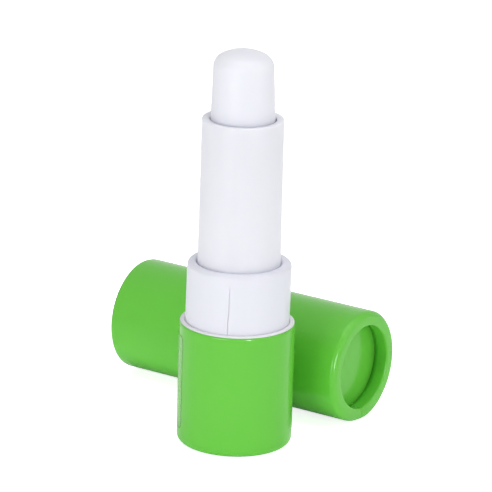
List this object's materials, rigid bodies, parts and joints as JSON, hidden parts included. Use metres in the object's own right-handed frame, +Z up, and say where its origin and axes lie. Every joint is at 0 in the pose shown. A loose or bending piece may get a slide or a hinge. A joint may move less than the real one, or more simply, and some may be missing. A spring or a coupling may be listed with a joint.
{
  "type": "lip balm stick",
  "caption": "Twist-up lip balm in a rolled paper tube, standing open with its balm wound up and its cap lying beside it.",
  "frame": {"origin": "centre of the ring that the base stands on, on the stick's axis", "axes": "+Z up along the stick's axis; X along the lying cap's axis, +X towards its closed end; the cap lies on the +Y side"},
  "size_m": [0.0526, 0.0459, 0.077],
  "materials": {
    "green_paper": "green paper under a gloss film",
    "white_paper": "smooth white paper",
    "white_board": "wound white paper board",
    "clear_film": "clear gloss film",
    "white_plastic": "satin moulded plastic",
    "balm": "smooth white wax"
  },
  "bodies": {
    "base": {"base_wrap": "green_paper", "base_tube": "white_board", "base_disc": "white_board", "base_disc_facing": "green_paper", "base_disc_lining": "white_paper", "neck_tube": "white_board", "neck_wrap": "white_paper", "clear_label": "clear_film", "drive_knob": "white_plastic"},
    "barrel": {"barrel": "white_plastic"},
    "carrier": {"carrier_cup": "white_plastic", "balm": "balm"},
    "cap": {"cap_wrap": "green_paper", "cap_tube": "white_board", "cap_liner": "white_paper", "cap_disc": "white_board", "cap_disc_facing": "green_paper", "cap_disc_lining": "white_paper"}
  },
  "joints": [
    {"name": "barrel_turn", "type": "hinge", "parent": "base", "child": "barrel", "pos_m": [0, 0, 0.0137], "axis": [0, 0, 1], "range_deg": [-1260, 2151]},
    {"name": "balm_lift", "type": "slide", "parent": "barrel", "child": "carrier", "axis": [0, 0, 1], "range_m": [-0.014, 0.0239]},
    {"name": "cap_lift", "type": "slide", "parent": "base", "child": "cap", "axis": [0, 0, 1], "range_m": [0, 0.1]}
  ],
  "couplings": [
    {"joint": "balm_lift", "follows": "barrel_turn", "m_per_rad": 0.00063662}
  ]
}
